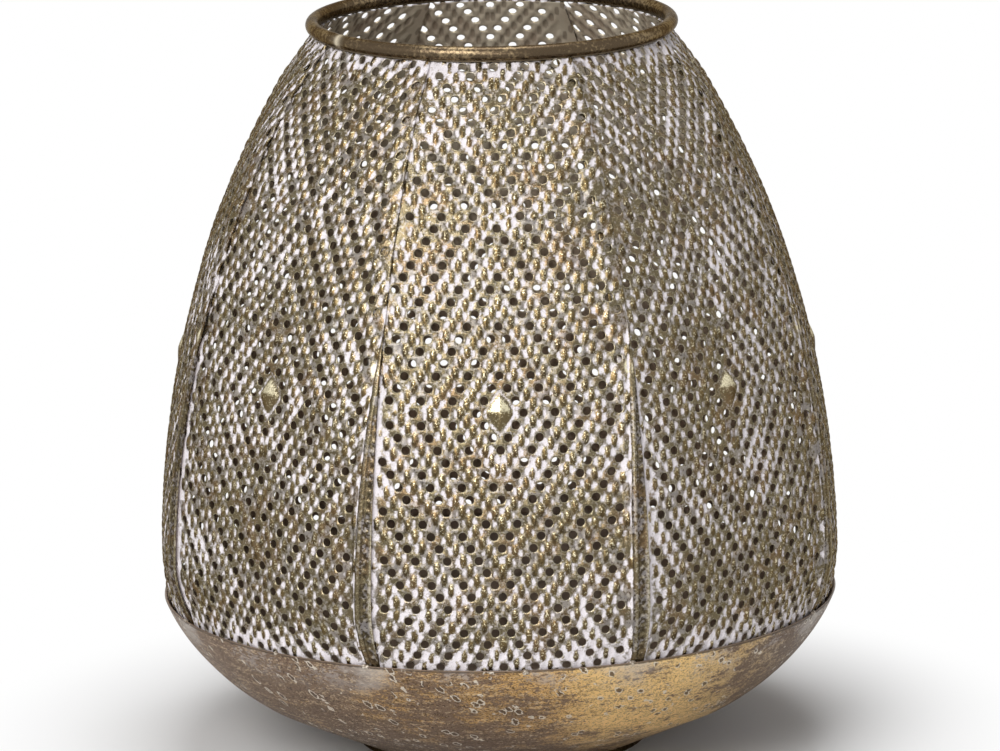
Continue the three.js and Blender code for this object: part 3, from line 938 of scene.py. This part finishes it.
# %% The bowl's finish
def bowl_finish():
    finish = Finish("worn_gold_bowl")
    streaks = finish.cloud(4.0, detail=4.0, stretch=(3.0, 3.0, 0.4))
    specks = finish.cloud(0.6, detail=2.0, roughness=0.7, stretch=(1.3, 1.3, 0.8))
    grain = finish.cloud(1.3, detail=4.0, roughness=0.75, stretch=(1.7, 1.7, 0.8))
    blotches = finish.cloud(7.0, detail=4.0, roughness=0.65, stretch=(1.3, 1.3, 0.7))
    base, leaf, right = leafed(finish, streaks, grain, blotches)
    base = weathered(finish, base, right, specks, streaks, grain, blotches)
    base = soldering_marks_and_gap_shadow(finish, base, streaks, grain, blotches)
    pit, rim = pits(finish)
    base = finish.blend(rim * 0.85, base, PIT_RIM)
    base = finish.blend(pit * 0.85, base, PIT_BROWN)
    height = specks * 0.4 + streaks * 0.25 + rim * 0.3 - pit * 0.5
    return finish.shade(
        Base_Color=base,
        Metallic=0.3 + leaf * 0.4,
        Roughness=0.55 - leaf * 0.12 + (specks - 0.5) * 0.3,
        Normal=finish.bumps(height, 0.4),
    )


# %% The bowl
BOWL_STEPS = 300
BOWL_DENT, BOWL_DENT_SIZE = 0.16, 16.0
bowl = turned(bowl_section(), BOWL_STEPS)
for v in bowl.verts:
    if v.co.z > FLOOR_UNDERSIDE + 2:
        dent = noise.noise(v.co / BOWL_DENT_SIZE) * BOWL_DENT
        v.co += Vector((v.co.x, v.co.y, 0)).normalized() * (dent - BOWL_DENT)
for face in bowl.faces:
    middle = face.calc_center_median()
    inwards = face.normal.dot(Vector((-middle.x, -middle.y, middle.length)))
    face.material_index = 1 if inwards > 0 else 0
bowl_mesh = as_mesh(bowl, "spun_bowl")
finished("spun_bowl", bowl_mesh, [bowl_finish(), inside], "base_bowl")
print("bowl:", len(bowl_mesh.polygons), "faces")

# %% [markdown]
# ## The mouth ring
#
# The mouth ring is a wire whose two ends were butted and welded at the front left. The weld draws
# the wire in a little on both sides of a low bead, and it stays paler than the bronze around it. A
# number stored at each place says how near the weld it is, and the finish reads it.

# %% The mouth ring
RIM_RADIUS, WIRE_RADIUS, RIM_HEIGHT = 63.1, 2.5, 258.9
WIRE_SIDES, RING_TURN_STEPS = 24, 180
WELD_ANGLE, PINCH_BESIDE = math.radians(-56), 1.9
WELD_GREY = colour(226, 214, 190)
RING_BRONZE, RUBBED_BRONZE = colour(84, 71, 55), colour(156, 137, 106)


def ring_finish(name, base, bright):
    finish = Finish(name)
    specks = finish.cloud(1.1, detail=3.0)
    worn = finish.cloud(12.0, detail=3.0)
    weld = finish.attribute("weld")
    metal = finish.blend((worn + (specks - 0.5) * 1.2).over(0.45, 0.75) * 0.6, base, bright)
    return finish.shade(
        Base_Color=finish.blend(weld * 0.9, metal, WELD_GREY),
        Metallic=0.9,
        Roughness=0.28 + (specks - 0.5) * 0.3,
        Specular_Tint=EDGE_TINT,
        Normal=finish.bumps(specks * 0.6 + worn * 0.4, 0.16),
    )


wire = [
    (RIM_RADIUS + WIRE_RADIUS * math.cos(t), RIM_HEIGHT + WIRE_RADIUS * math.sin(t))
    for t in np.linspace(0, 2 * math.pi, WIRE_SIDES, endpoint=False)
]
ring = turned(wire, RING_TURN_STEPS)
weld_layer = ring.verts.layers.float.new("weld")
for v in ring.verts:
    angle = math.atan2(v.co.x, -v.co.y)
    spine = Vector((math.sin(angle), -math.cos(angle), 0)) * RIM_RADIUS + Vector((0, 0, RIM_HEIGHT))
    from_weld = (angle - WELD_ANGLE) * RIM_RADIUS
    pinch = math.exp(-((abs(from_weld) - PINCH_BESIDE) ** 2) / 0.9)
    v[weld_layer] = math.exp(-(from_weld**2) / 2.2)
    shrink = 1 - 0.09 * pinch - 0.012 * (1 + noise.noise(v.co / 5.0))
    v.co = spine + (v.co - spine) * shrink
ring_mesh = as_mesh(ring, "mouth_ring")
bronze = ring_finish("ring_bronze", RING_BRONZE, RUBBED_BRONZE)
finished("mouth_ring", ring_mesh, [bronze], "rim_wire_ring")
print("mouth ring:", len(ring_mesh.polygons), "faces")

# %% [markdown]
# ## Solder
#
# The petals are soldered to the ring all the way round, and to the bowl's lip by small blobs, one
# at the foot of each seam and a few between them. The joint under the ring is a thin strip turned
# like the ring. Each blob is a ball, flattened and turned to its place, with half of it in the metal.

# %% The solder
SOLDER_STRIP = [(62.5, 255.95), (63.6, 255.95), (63.9, 256.4), (63.5, 256.75), (62.4, 256.6)]
BLOB_INWARDS, BLOB_HALF_DEPTH = 0.75, 0.7
BLOB_NOISE, BLOB_NOISE_SIZE = 0.25, 1.3
SOLDER_DARK, SOLDER_PALE, SOLDER_BY_RING = colour(116, 102, 86), colour(206, 196, 182), colour(92, 78, 58)

# Each blob's turn about the upright axis, height, half length and half height.
BLOBS = [(angle, 54.5, 1.7, 0.8) for angle in SEAM_FOOT_ANGLES]
BLOBS += [
    (math.radians(3.6), 54.1, 1.5, 1.0),
    (math.radians(-41), 54.5, 1.2, 0.7),
    (math.radians(118), 54.4, 1.4, 0.8),
]
solder = turned(SOLDER_STRIP, RING_TURN_STEPS)
for angle, height, half_length, half_height in BLOBS:
    size = Matrix.Diagonal((half_length, BLOB_HALF_DEPTH, half_height, 1))
    lip = Matrix.Translation((0, -(LIP_RADIUS - BLOB_INWARDS), height))
    place = Matrix.Rotation(angle, 4, "Z") @ lip
    blob = bmesh.ops.create_icosphere(solder, subdivisions=3, radius=1.0, matrix=place @ size)
    for v in blob["verts"]:
        v.co += Vector((0, 0, BLOB_NOISE * noise.noise(v.co / BLOB_NOISE_SIZE)))
for face in solder.faces:
    face.smooth = True


def solder_finish():
    finish = Finish("solder_grey")
    specks = finish.cloud(0.9, detail=3.0)
    tint = finish.blend(specks.over(0.4, 0.65), SOLDER_DARK, SOLDER_PALE)
    by_ring = finish.axis("Z").over(200, 220)
    return finish.shade(
        Base_Color=finish.blend(by_ring, tint, SOLDER_BY_RING),
        Metallic=0.5,
        Roughness=0.45 + (specks - 0.5) * 0.3,
        Normal=finish.bumps(specks, 0.12),
    )


solder_mesh = as_mesh(solder, "solder")
finished("solder", solder_mesh, [solder_finish()])
print("solder:", len(BLOBS), "blobs,", len(solder_mesh.polygons), "faces")

# %% [markdown]
# ## The foot
#
# The foot is a hoop of flat strip with a small chamfer at its lower corner. Its section is turned
# too, and its faces stay flat, so the chamfer reads as an edge and not as a soft roll.

# %% The foot
FOOT_RADIUS, FOOT_WIDTH, FOOT_HEIGHT, FOOT_CHAMFER = 52, 4, 2.6, 0.5
FOOT_STEPS = 160
FOOT_BRONZE, FOOT_RUBBED = colour(70, 58, 40), colour(96, 80, 54)
hoop = turned(
    [
        (FOOT_RADIUS - FOOT_WIDTH, 0),
        (FOOT_RADIUS - FOOT_CHAMFER, 0),
        (FOOT_RADIUS, FOOT_CHAMFER),
        (FOOT_RADIUS, FOOT_HEIGHT),
        (FOOT_RADIUS - FOOT_WIDTH, FOOT_HEIGHT),
    ],
    FOOT_STEPS,
)
for face in hoop.faces:
    face.smooth = False
hoop_mesh = as_mesh(hoop, "foot_hoop")
dark_bronze = ring_finish("foot_bronze", FOOT_BRONZE, FOOT_RUBBED)
finished("foot_hoop", hoop_mesh, [dark_bronze], "foot_ring")
print("foot:", len(hoop_mesh.polygons), "faces")

# %% [markdown]
# ## Camera
#
# The camera stands a good way off and looks down by nearly thirteen degrees, as the ellipses of the
# mouth ring and the bowl's lip say. Its direction is written as angles, so it is easy to turn, and
# the long lens keeps the petals' sides nearly parallel.

# %% The camera
ELEVATION, AZIMUTH, ROLL = math.radians(12.75), math.radians(-0.45), math.radians(0.85)
DISTANCE, AIM = 2.567, Vector((0.0011, 0, 0.1313))
SENSOR_WIDTH, FOCAL_LENGTH, FAR_CLIP = 36, 259.9, 20
camera = bpy.data.objects.new("camera", bpy.data.cameras.new("camera"))
bpy.context.scene.collection.objects.link(camera)
bpy.context.scene.camera = camera
camera.data.sensor_width = SENSOR_WIDTH
camera.data.lens = FOCAL_LENGTH
camera.data.clip_end = FAR_CLIP
level_way = Vector((math.sin(AZIMUTH), -math.cos(AZIMUTH), 0))
back = level_way * math.cos(ELEVATION) + Vector((0, 0, math.sin(ELEVATION)))
turn = (-back).to_track_quat("-Z", "Y").to_matrix() @ Matrix.Rotation(-ROLL, 3, "Z")
camera.matrix_world = Matrix.Translation(AIM + back * DISTANCE) @ turn.to_4x4()
print("camera at", [round(c, 3) for c in camera.matrix_world.translation], "m")

# %% [markdown]
# ## Floor and light
#
# A large soft lamp stands in front, to the left and about thirty degrees up. The metal mirrors it
# above mid height, and lower down only the tops of the grains catch it. A smaller one straight in
# front is what the sheet mirrors at mid height. A lamp above lights the floor and the inside, and
# weak ones at the sides keep the edges clear. The background is white only to the camera and in
# reflections, so it doesn't light the object. Close to the object the floor takes its shadow.

# %% The floor
FLOOR_RADIUS, FLOOR_SIDES, FLOOR_GREY = 6.0, 96, 0.86
SHADOW_EDGE = (0.1, 0.2)
floor_bm = bmesh.new()
bmesh.ops.create_circle(floor_bm, cap_ends=True, segments=FLOOR_SIDES, radius=FLOOR_RADIUS)
floor_mesh = as_mesh(floor_bm, "floor")
floor = bpy.data.objects.new("floor", floor_mesh)
bpy.context.scene.collection.objects.link(floor)

floor_finish = Finish("pale_floor")
floor_finish.shade(Base_Color=(FLOOR_GREY,) * 3, Roughness=0.9)
glow = floor_finish.node("Emission", Color=(1, 1, 1), Strength=1.0)
spot = floor_finish.node("VectorMath", {"operation": "LENGTH"})
floor_finish.put(spot.inputs[0], floor_finish.place)
far = Varying(floor_finish, spot.outputs["Value"]).over(*SHADOW_EDGE)
ray = floor_finish.node("LightPath")
kinds = ("Is Camera Ray", "Is Glossy Ray", "Is Transmission Ray")
seen = sum(Varying(floor_finish, ray.outputs[kind]) for kind in kinds).clamped()
either = floor_finish.node("MixShader")
floor_finish.put(either.inputs[0], far * seen)
floor_finish.put(either.inputs[1], floor_finish.shader.outputs[0])
floor_finish.put(either.inputs[2], glow.outputs[0])
floor_finish.put(floor_finish.tree.nodes["Material Output"].inputs["Surface"], either.outputs[0])
floor_mesh.materials.append(floor_finish.material)


# %% The world
WORLD_LIGHT = 0.2
world = bpy.data.worlds.new("studio")
bpy.context.scene.world = world
world.use_nodes = True
nodes, links = world.node_tree.nodes, world.node_tree.links
path = nodes.new("ShaderNodeLightPath")
seen_directly = path.outputs["Is Camera Ray"]
for kind in ("Is Glossy Ray", "Is Transmission Ray"):
    either_kind = nodes.new("ShaderNodeMath")
    either_kind.operation = "MAXIMUM"
    links.new(seen_directly, either_kind.inputs[0])
    links.new(path.outputs[kind], either_kind.inputs[1])
    seen_directly = either_kind.outputs[0]
strength = nodes.new("ShaderNodeMapRange")
strength.inputs["To Min"].default_value = WORLD_LIGHT
strength.inputs["To Max"].default_value = 1.0
links.new(seen_directly, strength.inputs["Value"])
links.new(strength.outputs["Result"], nodes["Background"].inputs["Strength"])
nodes["Background"].inputs["Color"].default_value = (1, 1, 1, 1)


# %% The lamps
LIT_POINT = Vector((0, 0, 0.13))


def soft_lamp(name, place, size, brightness):
    """A square lamp, size metres wide, whose face is brightness times as bright as white."""
    lamp = bpy.data.lights.new(name, "AREA")
    lamp.size = size
    lamp.energy = brightness * math.pi * size * size
    holder = bpy.data.objects.new(name, lamp)
    holder.location = place
    holder.rotation_euler = (LIT_POINT - Vector(place)).to_track_quat("-Z", "Y").to_euler()
    bpy.context.scene.collection.objects.link(holder)


soft_lamp("key_lamp", (-0.56, -1.22, 0.96), 0.9, 6.3)
soft_lamp("front_lamp", (-0.05, -1.6, 0.38), 0.6, 3.4)
soft_lamp("top_lamp", (0.0, 0.15, 1.6), 0.8, 4.2)
soft_lamp("left_lamp", (-1.5, -0.6, 0.7), 0.8, 0.3)
soft_lamp("right_lamp", (1.5, -0.6, 0.7), 0.8, 0.1)
bpy.context.scene.view_settings.view_transform = "Standard"
print("lamps:", len(bpy.data.lights))
